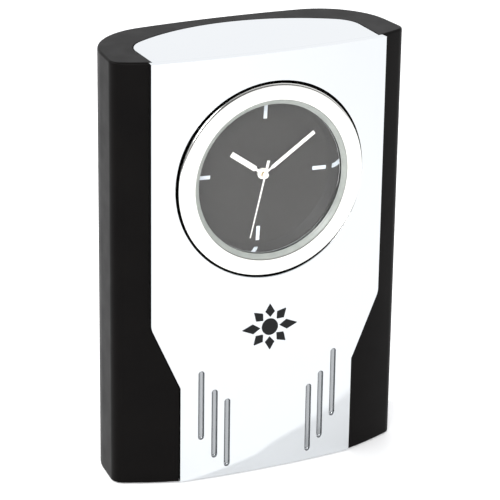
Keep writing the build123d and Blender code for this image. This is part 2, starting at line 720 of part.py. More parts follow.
def make_setting_shaft():
    reverse_phase = mating_phase(REVERSE_DIRECTION, CANNON_TEETH, REVERSE_DIRECTION, REVERSE_TEETH)
    phase = mating_phase(SETTING_DIRECTION, REVERSE_TEETH, reverse_phase, SETTING_TEETH)
    made = wheel(SETTING_TEETH, MOTION_MODULE, phase, *REVERSE_PLANE, SETTING_AT)
    made += mdisc(SETTING_R, FLOOR + RUN_GAP, KNOB_NEAR + 1.5, SETTING_AT)
    return made + mdisc(1.0, FLOOR - PIVOT_LONG, FLOOR + 1, SETTING_AT)


KNOB_R = 6.0
KNOB_NEAR = CASE_DEEP + 0.3
KNOB_FAR = KNOB_NEAR + 3.2
KNOB_FLUTES = 24


def make_setting_knob():
    knob = mdisc(KNOB_R, KNOB_NEAR, KNOB_FAR, SETTING_AT)
    knob = fillet(knob.edges().filter_by(GeomType.CIRCLE).sort_by(Axis.Y)[-1], 0.5)
    for flute in range(KNOB_FLUTES):
        x, z = beyond(SETTING_AT, KNOB_R + 0.1, 360 / KNOB_FLUTES * flute)
        knob -= mdisc(0.4, KNOB_NEAR, KNOB_FAR, (x, z))
    return knob - mdisc(SETTING_R, KNOB_NEAR, KNOB_NEAR + 1.5, SETTING_AT)


# ---- Movement case and electrics ----
BOARD_POSTS = ((5.0, 23.6), (23.0, 15.0))
BOARD_NEAR, BOARD_FAR = 11.2, 12.4
CELL_R = 7.1
CELL_Z = -18.9
CELL_AXIS_M = 8.75
CELL_LEFT, CELL_RIGHT = -24.3, 24.6
INSIDE = CASE / 2 - CASE_WALL
STRIP = 0.3


def case_outline():
    return RectangleRounded(CASE, CASE, 2.0)


def box_between(x0, x1, z0, z1):
    """A front-view rectangle between two corners."""
    return Pos((x0 + x1) / 2, (z0 + z1) / 2) * Rectangle(x1 - x0, z1 - z0)


def make_movement_case_front():
    case = mslab(case_outline(), 0, FLOOR)
    case += mslab(case_outline() - Rectangle(2 * INSIDE, 2 * INSIDE), FLOOR, LID)
    case += mslab(box_between(-INSIDE, INSIDE, BAY_TOP, BAY_TOP + CASE_WALL), FLOOR, LID)
    case += mdisc(BUSH_R, NUT_NEAR - MOVEMENT, 0)
    case += mdisc(POST_PIN_R, FLOOR, 5.0, REVERSE_AT)
    for place in BOARD_POSTS:
        case += mdisc(1.3, FLOOR, BOARD_NEAR, place)
    case -= mdisc(HOUR_PIPE_R + RUN_GAP, NUT_NEAR - MOVEMENT, FLOOR)
    for place in (THIRD_AT, MID_AT, ROTOR_AT):
        case -= mdisc(PIVOT_R + RUN_GAP, FLOOR - PIVOT_LONG - RUN_GAP, FLOOR, place)
    case -= mdisc(1.0 + RUN_GAP, FLOOR - PIVOT_LONG - RUN_GAP, FLOOR, SETTING_AT)
    for near, far, side in ((POSITIVE_NEAR, BOARD_FAR, 1), (NEGATIVE_NEAR, NEGATIVE_FAR, -1)):
        slot = box_between(INSIDE - 0.6, INSIDE, BAY_TOP, BAY_TOP + CASE_WALL)
        slot = slot if side > 0 else mirror(slot, Plane.YZ)
        case -= mslab(slot, near - 0.2, far + 0.2)
    return case


def make_movement_case_back():
    lid = mslab(case_outline() & box_between(-CASE, CASE, BAY_TOP, CASE), LID, CASE_DEEP)
    for place in (THIRD_AT, MID_AT, ROTOR_AT, (0.0, 0.0)):
        lid -= mdisc(PIVOT_R + RUN_GAP, LID, LID + PIVOT_LONG + RUN_GAP, place)
    return lid - mdisc(SETTING_R + RUN_GAP, LID, CASE_DEEP, SETTING_AT)


COIL_X = (-20.5, -5.5)
COIL_Z = 22.3
COIL_M = 11.7
CORE_HALF = (1.5, 0.5)      # half width and half thickness of the iron core
FLANGE = 0.8


def coil_layer(x0, x1, half_z, half_m):
    return mslab(box_between(x0, x1, COIL_Z - half_z, COIL_Z + half_z), COIL_M - half_m, COIL_M + half_m)


def make_coil_core():
    return coil_layer(COIL_X[0] - 5.3, COIL_X[1] + 4.7, *CORE_HALF)


def make_coil_bobbin():
    half_z, half_m = CORE_HALF
    x0, x1 = COIL_X
    tube = coil_layer(x0, x1, half_z + 0.5, half_m + 0.5)
    ends = coil_layer(x0 - FLANGE, x0, 3.5, 2.2) + coil_layer(x1, x1 + FLANGE, 3.5, 2.2)
    return tube + ends - coil_layer(x0 - FLANGE, x1 + FLANGE, half_z, half_m)


def make_coil_winding():
    half_z, half_m = CORE_HALF
    x0, x1 = COIL_X
    outside = coil_layer(x0, x1, 3.2, 2.0)
    outside = fillet(outside.edges().filter_by(Axis.X), 0.9)
    return outside - coil_layer(x0, x1, half_z + 0.5, half_m + 0.5)


STATOR_NEAR, STATOR_FAR = 12.2, 13.2


def make_stator():
    """Iron plate that closes the coil's circuit round the rotor."""
    ring = Pos(*ROTOR_AT) * Circle(5.0)
    left = make_face(Polyline((-21.6, 3.0), (-17.5, 6.5), (-21.6, 18.0), (-21.6, 25.6), (-25.8, 25.6),
                              (-25.8, 11.0), close=True))
    right = make_face(Polyline((-16.0, 7.0), (-12.2, 3.0), (-5.0, 13.5), (-0.8, 17.0), (-0.8, 25.6),
                               (-4.4, 25.6), (-4.4, 18.0), (-9.5, 14.8), close=True))
    plate = ring + left + right - Pos(*ROTOR_AT) * Circle(MAGNET_R + 0.5)
    return mslab(plate, STATOR_NEAR, STATOR_FAR)


def make_circuit_board():
    board = box_between(2.6, INSIDE - 0.4, 12.6, 25.6)
    for place in BOARD_POSTS:
        board -= Pos(*place) * Circle(0.6)
    return mslab(board, BOARD_NEAR, BOARD_FAR)


def make_quartz_crystal():
    can = Cylinder(1.0, 6.2, rotation=(0, 90, 0))
    return Pos(15.0, FRONT_Y + MOVEMENT + BOARD_NEAR - 1.0, DIAL_Z + 21.5) * can


def make_driver_chip():
    return mdisc(2.6, BOARD_NEAR - 0.9, BOARD_NEAR, (9.5, 18.0))


POSITIVE_NEAR = BOARD_FAR - 1.2
NEGATIVE_NEAR, NEGATIVE_FAR = 3.0, 5.0
BLADE_Z = (-25.0, -12.6)
BLADE_M = (2.5, 13.0)


def make_positive_contact():
    x0, x1 = INSIDE - STRIP - 0.05, INSIDE - 0.05
    blade = mslab(box_between(x0, x1, *BLADE_Z), *BLADE_M)
    return blade + mslab(box_between(x0, x1, BLADE_Z[1], 14.0), POSITIVE_NEAR, BOARD_FAR)


def make_negative_contact():
    x0, x1 = -INSIDE + 0.05, -INSIDE + STRIP + 0.05
    blade = mslab(box_between(x0, x1, *BLADE_Z), *BLADE_M)
    top = INSIDE - 0.05
    lead = mslab(box_between(x0, x1, BLADE_Z[1], top), NEGATIVE_NEAR, NEGATIVE_FAR)
    lead += mslab(box_between(x0, 6.0, top - STRIP, top), NEGATIVE_NEAR, NEGATIVE_FAR)
    lead += mslab(box_between(4.0, 6.0, top - STRIP, top), NEGATIVE_NEAR, BOARD_FAR)
    tongue = Polyline((x1, -14.0), (x1 + 1.05, CELL_Z), (x1, -23.5), (x1, -23.1), (x1 + 0.75, CELL_Z),
                      (x1, -14.4), close=True)
    return blade + lead + mslab(make_face(tongue), CELL_AXIS_M - 2, CELL_AXIS_M + 2)


def cell_rod(radius, x0, x1):
    rod = Cylinder(radius, x1 - x0, rotation=(0, 90, 0))
    return Pos((x0 + x1) / 2, FRONT_Y + MOVEMENT + CELL_AXIS_M, DIAL_Z + CELL_Z) * rod


def make_battery_cell():
    return fillet(cell_rod(CELL_R, CELL_LEFT, CELL_RIGHT).edges(), 0.5)


def make_battery_cap():
    return cell_rod(2.75, CELL_RIGHT, CELL_RIGHT + 1.0)


# ---- Hands ----
def clockwise(sketch, angle):
    """A hand drawn pointing to twelve, turned to its place."""
    return at_dial(Rot(0, 0, -angle) * sketch)


def baton(bore_r, hub_r, length, width, neck_width, blade_start):
    """A flat baton hand with an open hub and a narrow neck."""
    blade = Pos(0, (blade_start + length) / 2) * Rectangle(width, length - blade_start)
    neck = Pos(0, blade_start / 2) * Rectangle(neck_width, blade_start + 0.2)
    return Circle(hub_r) + neck + blade - Circle(bore_r)


def make_hour_hand():
    hand = clockwise(baton(HOUR_PIPE_R, *HOUR_BATON), HOUR_ANGLE)
    return slab(hand, HOUR_HAND_DEPTH, HOUR_HAND_DEPTH + HAND_THICK)


def make_minute_hand():
    hand = clockwise(baton(MINUTE_PIPE_R, *MINUTE_BATON), MINUTE_ANGLE)
    return slab(hand, MINUTE_HAND_DEPTH, MINUTE_HAND_DEPTH + HAND_THICK)


def make_second_hand():
    root, tip, length = SECOND_NEEDLE
    needle = make_face(Polyline((-root, 0), (-tip, length), (tip, length), (root, 0), close=True))
    tail = Pos(0, -SECOND_TAIL[1] / 2) * Rectangle(*SECOND_TAIL)
    hand = clockwise(needle + tail + Circle(SECOND_HUB_R) - Circle(SECOND_ARBOR_R), SECOND_ANGLE)
    return slab(hand, SECOND_HAND_DEPTH, SECOND_HAND_DEPTH + HAND_THICK)


def make_second_hand_cap():
    back = SECOND_HAND_DEPTH - 0.1
    front = back - HAND_CAP_THICK
    dimple_r, dimple_deep = HAND_CAP_DIMPLE
    return disc(HAND_CAP_R, front, back) - disc(dimple_r, front, front + dimple_deep)


# ---- Back door ----
RIB_HIGH = 1.6
TONGUE = (8.0, 1.4, 2.4)    # height, thickness and reach of the closing tongue


def make_back_door():
    leaf = box_between(DOOR_HINGE_X, DOOR_RIGHT_X, DOOR_LOW, DOOR_HIGH)
    door = slab(leaf, BACK_DEPTH - 4 * WALL, BACK_DEPTH + 1) & back_band(0, DOOR_THICK)
    x, y = hinge_axis()
    door += Pos(x, y, DOOR_LOW) * extrude(Circle(BARREL_R), DOOR_HIGH - DOOR_LOW)
    pin_rise = DOOR_HIGH - DOOR_LOW + 2 * HINGE_PIN_LONG
    door += Pos(x, y, DOOR_LOW - HINGE_PIN_LONG) * extrude(Circle(HINGE_PIN_R), pin_rise)
    middle = (DOOR_LOW + DOOR_HIGH) / 2
    for offset_z in (-22.0, 0.0, 22.0):
        rib = Pos(0, middle + offset_z) * Rectangle(46.0, 1.4)
        door += slab(rib, BACK_DEPTH - 5, BACK_DEPTH - 1) & back_band(DOOR_THICK, DOOR_THICK + RIB_HIGH)
    high, thick, reach = TONGUE
    tongue = box_between(DOOR_RIGHT_X - thick, DOOR_RIGHT_X, middle - high / 2, middle + high / 2)
    door += slab(tongue, BACK_DEPTH - 8, BACK_DEPTH) & back_band(DOOR_THICK, DOOR_THICK + reach)
    scoop = Pos(DOOR_RIGHT_X, middle - 12) * SlotOverall(11, 4, rotation=90)
    return door - (slab(scoop, BACK_DEPTH - 6, BACK_DEPTH + 1) & back_band(-1, 1.2))


PIECES = {
    "housing": make_housing,
    "base_plate": make_base_plate,
    "base_pad": make_base_pad,
    "base_screws": make_base_screws,
    "ballast_weight": make_ballast,
    "ballast_screws": make_ballast_screws,
    "front_cover": make_front_cover,
    "cover_screws": make_cover_screws,
    "emblem": make_emblem,
    "bezel": make_bezel,
    "glass_gasket": make_glass_gasket,
    "glass": make_glass,
    "reflector_ring": make_reflector_ring,
    "dial": make_dial,
    "hour_markers": make_hour_markers,
    "dial_carrier": make_dial_carrier,
    "carrier_screws": make_carrier_screws,
    "clamp_ring": make_clamp_ring,
    "movement_nut": make_movement_nut,
    "movement_case_front": make_movement_case_front,
    "movement_case_back": make_movement_case_back,
    "coil_core": make_coil_core,
    "coil_bobbin": make_coil_bobbin,
    "coil_winding": make_coil_winding,
    "stator": make_stator,
    "circuit_board": make_circuit_board,
    "quartz_crystal": make_quartz_crystal,
    "driver_chip": make_driver_chip,
    "positive_contact": make_positive_contact,
    "negative_contact": make_negative_contact,
    "battery_cell": make_battery_cell,
    "battery_cap": make_battery_cap,
    "rotor": make_rotor,
    "rotor_magnet": make_rotor_magnet,
    "intermediate_wheel": make_intermediate_wheel,
    "second_wheel": make_second_wheel,
    "third_wheel": make_third_wheel,
    "centre_wheel": make_centre_wheel,
    "clutch_spring": make_clutch_spring,
    "cannon_pinion": make_cannon_pinion,
    "reverse_wheel": make_reverse_wheel,
    "hour_wheel": make_hour_wheel,
    "setting_shaft": make_setting_shaft,
    "setting_knob": make_setting_knob,
    "hour_hand": make_hour_hand,
    "minute_hand": make_minute_hand,
    "second_hand": make_second_hand,
    "second_hand_cap": make_second_hand_cap,
    "back_door": make_back_door,
}

os.makedirs("parts", exist_ok=True)
for name, make in PIECES.items():
    export_step(make(), f"parts/{name}.step")
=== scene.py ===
from math import asin, atan2, cos, pi, radians, sqrt, tan

import bmesh
import bpy
from mathutils import Matrix, Vector


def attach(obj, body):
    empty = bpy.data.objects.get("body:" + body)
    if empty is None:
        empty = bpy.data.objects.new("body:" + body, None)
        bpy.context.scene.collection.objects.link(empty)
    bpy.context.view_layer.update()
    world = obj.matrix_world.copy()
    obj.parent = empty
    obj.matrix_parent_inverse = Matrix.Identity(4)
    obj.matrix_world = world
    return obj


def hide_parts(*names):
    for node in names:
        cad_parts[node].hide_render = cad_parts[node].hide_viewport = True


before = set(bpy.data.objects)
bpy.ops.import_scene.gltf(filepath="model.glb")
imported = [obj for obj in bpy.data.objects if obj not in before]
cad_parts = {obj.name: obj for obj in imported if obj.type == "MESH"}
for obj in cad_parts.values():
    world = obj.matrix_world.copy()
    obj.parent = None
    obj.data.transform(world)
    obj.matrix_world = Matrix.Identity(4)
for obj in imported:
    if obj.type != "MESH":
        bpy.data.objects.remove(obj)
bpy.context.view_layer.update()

# ---- Housing ----
# The black body is one ABS moulding, a bowed D in plan with 2.6 mm walls and an open base,
# sprayed with a soft-touch coat. It has a pocket for the chromed cover in its front and top,
# a stepped hole for the clock insert, a window for the back door, and bosses for the screws.
mm = 0.001
face_y = -22.9 * mm
dial_z = 107.3 * mm
face_bow = 355.0 * mm
face_thick = 2.7 * mm
wall = 2.6 * mm
fit_gap = 0.35 * mm
clock_high = 152.0 * mm
housing_low = 0.5 * mm
housing_roof = 147.4 * mm
housing_edge = 0.8 * mm
touching = 0.01 * mm


def deselect():
    """Leaves nothing selected."""
    bpy.ops.object.select_all(action="DESELECT")


def take(piece):
    """Makes one piece the selected and active one."""
    deselect()
    piece.select_set(True)
    bpy.context.view_layer.objects.active = piece
    return piece


def named(name):
    """The primitive just added, its place moved into its mesh."""
    piece = bpy.context.object
    piece.name = name
    piece.data.name = name
    bpy.ops.object.transform_apply(location=True, rotation=True, scale=True)
    return piece


def pick(kind, test):
    """In edit mode, selects just the verts, edges or faces that pass a test."""
    bpy.ops.mesh.select_mode(type={"verts": "VERT", "edges": "EDGE", "faces": "FACE"}[kind])
    bpy.ops.mesh.select_all(action="DESELECT")
    mesh = bpy.context.object.data
    parts = bmesh.from_edit_mesh(mesh)
    for part in getattr(parts, kind):
        if test(part):
            part.select_set(True)
    parts.select_flush_mode()
    bmesh.update_edit_mesh(mesh)


def edge_at(height):
    """The test for edges that lie level at a height."""
    return lambda edge: all(abs(v.co.z - height) < touching for v in edge.verts)


def start_edge(name, x, y, low, high):
    """One upright edge, to be drawn round a plan by turn and run."""
    tall = high - low
    deselect()
    bpy.ops.mesh.primitive_plane_add(size=tall, location=(x + tall / 2, y, low + tall / 2),
                                     rotation=(pi / 2, 0, 0))
    piece = named(name)
    bpy.ops.object.mode_set(mode="EDIT")
    pick("verts", lambda vert: vert.co.x > x + tall / 2)
    bpy.ops.mesh.delete(type="VERT")
    bpy.ops.mesh.select_mode(type="EDGE")
    bpy.ops.mesh.select_all(action="SELECT")
    return piece


def turn(centre, start, stop, steps):
    """Draws the last edge round an upright axis, anticlockwise from above."""
    bpy.ops.mesh.spin(steps=steps, angle=stop - start, center=(*centre, 0), axis=(0, 0, -1))


def run(step):
    """Draws the last edge straight on."""
    bpy.ops.mesh.extrude_edges_move(TRANSFORM_OT_translate={"value": (step.x, step.y, 0)})


def close_plan(piece, low, high):
    """Mirrors half a wall across the middle, joins it and closes it above and below."""
    bpy.ops.object.mode_set(mode="OBJECT")
    mirror = piece.modifiers.new("other half", "MIRROR")
    mirror.merge_threshold = touching
    bpy.ops.object.modifier_apply(modifier=mirror.name)
    bpy.ops.object.mode_set(mode="EDIT")
    for height in (low, high):
        pick("edges", edge_at(height))
        bpy.ops.mesh.edge_face_add()
    bpy.ops.mesh.select_all(action="SELECT")
    bpy.ops.mesh.normals_make_consistent(inside=False)
    bpy.ops.object.mode_set(mode="OBJECT")
    return piece


def corner_centre(side, along, out, radius, bow_centre, bow_radius, end):
    """The centre of the corner that touches both a straight side and a bowed end."""
    base = side - out * radius
    offset = base - bow_centre
    half = offset.dot(along)
    root = sqrt(half ** 2 - offset.length_squared + (bow_radius - radius) ** 2)
    return base + along * (end * root - half)


def angle_of(arm):
    """The direction of an arm, anticlockwise from +X."""
    return atan2(arm.y, arm.x)


def d_plan(name, inset, low, high):
    """The housing's D as a solid, brought in by inset all round."""
    side = Vector((53.95 * mm, face_y + 12.0 * mm))
    side_back = Vector((52.3 * mm, face_y + 30.0 * mm))
    along = (side_back - side).normalized()
    out = Vector((along.y, -along.x))
    front_bow, front_rise, front_corner = 125.0 * mm, 2.2 * mm, 4.5 * mm
    back_bow, deepest, back_corner = 340.0 * mm, 46.1 * mm, 25.0 * mm
    front_centre = Vector((0, face_y - front_rise + front_bow))
    back_centre = Vector((0, face_y + deepest - back_bow))
    near = corner_centre(side, along, out, front_corner, front_centre, front_bow, -1)
    far = corner_centre(side, along, out, back_corner, back_centre, back_bow, 1)
    near_angle = angle_of(near - front_centre)
    far_angle = angle_of(far - back_centre)
    piece = start_edge(name, 0, front_centre.y - front_bow + inset, low, high)
    turn(front_centre, -pi / 2, near_angle, 64)
    turn(near, near_angle, angle_of(out), 14)
    run(far - near + out * (back_corner - front_corner))
    turn(far, angle_of(out), far_angle, 24)
    turn(back_centre, far_angle, pi / 2, 30)
    return close_plan(piece, low, high)


def lid_plan(name, grow, front, low, high):
    """The flat top's plan as a solid: its front follows the bowed face, its back bows out."""
    half, back_bow, back_depth, corner = 41.5 * mm, 67.5 * mm, 39.2 * mm, 11.0 * mm
    along, out = Vector((0, 1)), Vector((1, 0))
    face_centre = Vector((0, face_y + face_bow))
    back_centre = Vector((0, face_y + back_depth - back_bow))
    half, back_bow, corner = half + grow, back_bow + grow, corner + grow
    far = corner_centre(Vector((half, 0)), along, out, corner, back_centre, back_bow, 1)
    front_radius = face_bow - front
    reach = asin(half / front_radius)
    far_angle = angle_of(far - back_centre)
    piece = start_edge(name, 0, face_centre.y - front_radius, low, high)
    turn(face_centre, -pi / 2, reach - pi / 2, 40)
    run(Vector((0, far.y - face_centre.y + front_radius * cos(reach))))
    turn(far, 0, far_angle, 24)
    turn(back_centre, far_angle, pi / 2, 40)
    return close_plan(piece, low, high)


def unrolled(x):
    """How far from the middle a point of the bowed face lies while the sheet is flat."""
    return face_bow * asin(x / face_bow)


def face_slab(name, grow, near, far):
    """The face's outline as a flat slab, the front of the face at Y 0."""
    half_top, half_bottom, face_low = 43.1 * mm, 32.7 * mm, 0.4 * mm
    kink_high, kink_low, kink_round = 59.1 * mm, 35.8 * mm, 6.0 * mm
    wide, narrow = unrolled(half_top) + grow, unrolled(half_bottom) + grow
    bottom, top = face_low - grow, clock_high + grow
    deselect()
    bpy.ops.mesh.primitive_cube_add(size=1, location=(0, (near + far) / 2, (bottom + top) / 2),
                                    scale=(2 * wide, far - near, top - bottom))
    piece = named(name)
    bpy.ops.object.mode_set(mode="EDIT")
    for height in (kink_high, kink_low):
        bpy.ops.mesh.select_all(action="SELECT")
        bpy.ops.mesh.bisect(plane_co=(0, 0, height), plane_no=(0, 0, 1))
    pick("verts", lambda vert: vert.co.z < kink_low + touching)
    bpy.ops.transform.resize(value=(narrow / wide, 1, 1), center_override=(0, 0, 0))
    lean = atan2(wide - narrow, kink_high - kink_low)
    at_kink = edge_at(kink_high)
    pick("edges", lambda edge: at_kink(edge) and abs(edge.verts[0].co.x - edge.verts[1].co.x) < touching)
    bpy.ops.mesh.bevel(offset=kink_round * tan(lean / 2), segments=8)
    bpy.ops.object.mode_set(mode="OBJECT")
    return piece


def strips(piece, reach, pitch):
    """Cuts a flat piece into upright strips, so that it can be bowed smoothly."""
    take(piece)
    bpy.ops.object.mode_set(mode="EDIT")
    count = int(reach / pitch)
    for strip in range(-count, count + 1):
        bpy.ops.mesh.select_all(action="SELECT")
        bpy.ops.mesh.bisect(plane_co=(strip * pitch, 0, 0), plane_no=(1, 0, 0))
    bpy.ops.object.mode_set(mode="OBJECT")


def bow(piece, radius, middle):
    """Rolls a flat piece round an upright axis, then moves its front to where it belongs."""
    take(piece)
    bpy.context.view_layer.update()
    bend = piece.modifiers.new("bow", "SIMPLE_DEFORM")
    bend.deform_method = "BEND"
    bend.deform_axis = "Z"
    bend.angle = piece.dimensions.x / radius
    bpy.ops.object.modifier_apply(modifier=bend.name)
    piece.location.y = middle
    bpy.ops.object.transform_apply(location=True, rotation=False, scale=False)


def round_rod(name, radius, near, far, x=0.0, z=dial_z, sides=64):
    """A rod from one Y to another."""
    deselect()
    bpy.ops.mesh.primitive_cylinder_add(vertices=sides, radius=radius, depth=far - near,
                                        location=(x, (near + far) / 2, z), rotation=(pi / 2, 0, 0))
    return named(name)


def block(name, low, high):
    """A plain block between two corners."""
    size = [b - a for a, b in zip(low, high)]
    middle = [(a + b) / 2 for a, b in zip(low, high)]
    deselect()
    bpy.ops.mesh.primitive_cube_add(size=1, location=middle, scale=size)
    return named(name)


def joined(pieces):
    """Several pieces made one object, named as the first."""
    take(pieces[0])
    for piece in pieces[1:]:
        piece.select_set(True)
    bpy.ops.object.join()
    return pieces[0]


def combine(piece, tool, how):
    """Cuts a tool out of a piece, or melts it in, and throws the tool away."""
    take(piece)
    step = piece.modifiers.new("step", "BOOLEAN")
    step.operation = how
    step.solver = "EXACT"
    step.object = tool
    bpy.ops.object.modifier_apply(modifier=step.name)
    mesh = tool.data
    bpy.data.objects.remove(tool)
    bpy.data.meshes.remove(mesh)
    return piece


def smooth(piece, angle=32):
    """Smooth shading that keeps flat faces flat and edges crisp."""
    take(piece)
    bpy.ops.object.shade_smooth_by_angle(angle=radians(angle))
    even = piece.modifiers.new("even shading", "WEIGHTED_NORMAL")
    even.keep_sharp = True
    bpy.ops.object.modifier_apply(modifier=even.name)
    return piece


def surface(name, colour, roughness, metallic=0.0, **sockets):
    """A new finish; more sockets are named with _ for a space."""
    finish = bpy.data.materials.new(name)
    finish.use_nodes = True
    shader = finish.node_tree.nodes["Principled BSDF"]
    shader.inputs["Base Color"].default_value = (*colour, 1)
    shader.inputs["Roughness"].default_value = roughness
    shader.inputs["Metallic"].default_value = metallic
    for socket, value in sockets.items():
        shader.inputs[socket.replace("_", " ")].default_value = value
    return finish


def cloud(finish, size, detail=3.0, stretch=(1, 1, 1)):
    """A soft random pattern whose patches are about size across."""
    nodes, links = finish.node_tree.nodes, finish.node_tree.links
    place = nodes.new("ShaderNodeTexCoord")
    scale = nodes.new("ShaderNodeMapping")
    scale.inputs["Scale"].default_value = stretch
    pattern = nodes.new("ShaderNodeTexNoise")
    pattern.inputs["Scale"].default_value = 1 / size
    pattern.inputs["Detail"].default_value = detail
    links.new(place.outputs["Object"], scale.inputs["Vector"])
    links.new(scale.outputs["Vector"], pattern.inputs["Vector"])
    return pattern.outputs["Fac"]


def mottle(finish, pattern, light, dark):
    """Lets a pattern carry the colour between two tones."""
    nodes, links = finish.node_tree.nodes, finish.node_tree.links
    ramp = nodes.new("ShaderNodeValToRGB")
    ramp.color_ramp.elements[0].position = 0.3
    ramp.color_ramp.elements[0].color = (*dark, 1)
    ramp.color_ramp.elements[1].position = 0.7
    ramp.color_ramp.elements[1].color = (*light, 1)
    links.new(pattern, ramp.inputs["Fac"])
    links.new(ramp.outputs["Color"], nodes["Principled BSDF"].inputs["Base Color"])


def scuff(finish, pattern, low, high):
    """Lets a pattern carry the roughness between two values."""
    nodes, links = finish.node_tree.nodes, finish.node_tree.links
    spread = nodes.new("ShaderNodeMapRange")
    spread.inputs["From Min"].default_value = 0.3
    spread.inputs["From Max"].default_value = 0.7
    spread.inputs["To Min"].default_value = low
    spread.inputs["To Max"].default_value = high
    links.new(pattern, spread.inputs["Value"])
    links.new(spread.outputs["Result"], nodes["Principled BSDF"].inputs["Roughness"])


def relief(finish, pattern, height):
    """Raises the surface by a pattern, on top of any relief it has already."""
    nodes, links = finish.node_tree.nodes, finish.node_tree.links
    normal = nodes["Principled BSDF"].inputs["Normal"]
    bump = nodes.new("ShaderNodeBump")
    bump.inputs["Strength"].default_value = 1.0
    bump.inputs["Distance"].default_value = height
    links.new(pattern, bump.inputs["Height"])
    if normal.is_linked:
        links.new(normal.links[0].from_socket, bump.inputs["Normal"])
    links.new(bump.outputs["Normal"], normal)


def dress(piece, finish):
    """Gives a piece one finish all over."""
    piece.data.materials.clear()
    piece.data.materials.append(finish)


soft_coat = surface("soft touch coat", (0.0022, 0.0018, 0.0017), 0.42, IOR=1.14)
mottle(soft_coat, cloud(soft_coat, 18 * mm), (0.0027, 0.0022, 0.0020), (0.0018, 0.0014, 0.0014))
scuff(soft_coat, cloud(soft_coat, 7 * mm, 5.0), 0.40, 0.46)
relief(soft_coat, cloud(soft_coat, 0.32 * mm, 2.0), 0.004 * mm)

housing = d_plan("body_shell", 0, housing_low, clock_high)
bpy.ops.object.mode_set(mode="EDIT")
pick("edges", edge_at(clock_high))
bpy.ops.mesh.bevel(offset=housing_edge, segments=5)
bpy.ops.object.mode_set(mode="OBJECT")

room_front = face_y + 6.5 * mm
room = d_plan("room", wall, -wall, housing_roof)
bpy.ops.object.mode_set(mode="EDIT")
bpy.ops.mesh.select_all(action="SELECT")
bpy.ops.mesh.bisect(plane_co=(0, room_front, 0), plane_no=(0, 1, 0), use_fill=True, clear_inner=True)
bpy.ops.object.mode_set(mode="OBJECT")
combine(housing, room, "DIFFERENCE")

boss_spots = ((36.0, 139.0), (37.5, 68.0), (22.0, 50.0), (26.0, 12.0))
boss_places = [(side * x * mm, z * mm) for x, z in boss_spots for side in (-1, 1)]
boss_radius, boss_front, screw_seat = 2.8 * mm, face_y + face_thick + wall, face_y + 8.6 * mm
bosses = [round_rod("boss", boss_radius + wall, boss_front, screw_seat, x, z) for x, z in boss_places]
combine(housing, joined(bosses), "UNION")
opening, spigot = 34.8 * mm, 30.9 * mm
insert_seat, spigot_end = face_y + 4.5 * mm, face_y + 12 * mm
collar_back = insert_seat + wall + fit_gap
combine(housing, round_rod("collar", opening + wall, face_y + face_thick, collar_back, sides=128), "UNION")

lid_thick, bed_gap, pocket_ahead = 2.0 * mm, 0.06 * mm, 5 * mm
pocket = face_slab("pocket", fit_gap, -pocket_ahead, face_thick + bed_gap)
strips(pocket, 44 * mm, 2 * mm)
bow(pocket, face_bow, face_y)
combine(housing, pocket, "DIFFERENCE")
recess_front, recess_low = 1.3 * mm, clock_high - lid_thick - bed_gap
recess = lid_plan("recess", fit_gap, recess_front, recess_low, clock_high + wall)
combine(housing, recess, "DIFFERENCE")
boss_end = face_y + 9 * mm
holes = [round_rod("hole", boss_radius + fit_gap, face_y, boss_end, x, z) for x, z in boss_places]
combine(housing, joined(holes), "DIFFERENCE")
combine(housing, round_rod("hole", opening, face_y - wall, insert_seat, sides=256), "DIFFERENCE")
spigot_hole = round_rod("hole", spigot + fit_gap, face_y - wall, spigot_end, sides=128)
combine(housing, spigot_hole, "DIFFERENCE")
window_left, window_right, window_low, window_high = -30.7 * mm, 31.0 * mm, 74.0 * mm, 141.0 * mm
window_near, window_far = face_y + 38 * mm, face_y + 48 * mm
window = block("window", (window_left, window_near, window_low), (window_right, window_far, window_high))
combine(housing, window, "DIFFERENCE")
smooth(housing)
dress(housing, soft_coat)
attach(housing, "clock_body")
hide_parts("housing")

# ---- Base ----
# A black plate closes the housing below, held by four screws, with a steel weight on it and a thin
# foam pad glued under it, so that the clock stands firm and doesn't scratch the shelf.
foam = surface("black foam", (0.02, 0.02, 0.02), 0.95)
mottle(foam, cloud(foam, 1.2 * mm), (0.028, 0.027, 0.026), (0.012, 0.012, 0.012))
relief(foam, cloud(foam, 0.6 * mm, 4.0), 0.15 * mm)

inner_black = surface("moulded black plastic", (0.012, 0.012, 0.013), 0.45)
scuff(inner_black, cloud(inner_black, 5 * mm), 0.35, 0.55)
relief(inner_black, cloud(inner_black, 0.5 * mm), 0.02 * mm)

zinc = surface("zinc plated steel", (0.62, 0.63, 0.66), 0.3, 1.0)
mottle(zinc, cloud(zinc, 1.5 * mm), (0.70, 0.70, 0.68), (0.50, 0.52, 0.58))
scuff(zinc, cloud(zinc, 0.8 * mm), 0.22, 0.42)

weight_steel = surface("rolled steel", (0.32, 0.31, 0.30), 0.5, 1.0)
mottle(weight_steel, cloud(weight_steel, 6 * mm, 6.0), (0.40, 0.38, 0.36), (0.20, 0.18, 0.17))
scuff(weight_steel, cloud(weight_steel, 2 * mm), 0.4, 0.7)


def finish_nodes(finish, *names):
    """Gives CAD pieces whose shape is right their finish."""
    for name in names:
        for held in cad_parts[name].material_slots:
            held.material = finish


finish_nodes(foam, "base_pad")
finish_nodes(inner_black, "base_plate")
finish_nodes(zinc, "base_screws", "ballast_screws", "cover_screws", "carrier_screws")
finish_nodes(weight_steel, "ballast_weight")

# ---- Chromed cover ----
# One bright-chromed ABS moulding: an upright face 2.7 mm thick, bowed across and stepping in at
# two kinks each side, and a flat top let into the housing. The face has six half-round slots and
# the hole for the clock insert, and is screwed on from inside.
chrome = surface("bright chrome", (0.66, 0.68, 0.695), 0.02, 1.0)
scuff(chrome, cloud(chrome, 9 * mm, 5.0), 0.008, 0.03)
relief(chrome, cloud(chrome, 22 * mm, 1.0), 0.05 * mm)



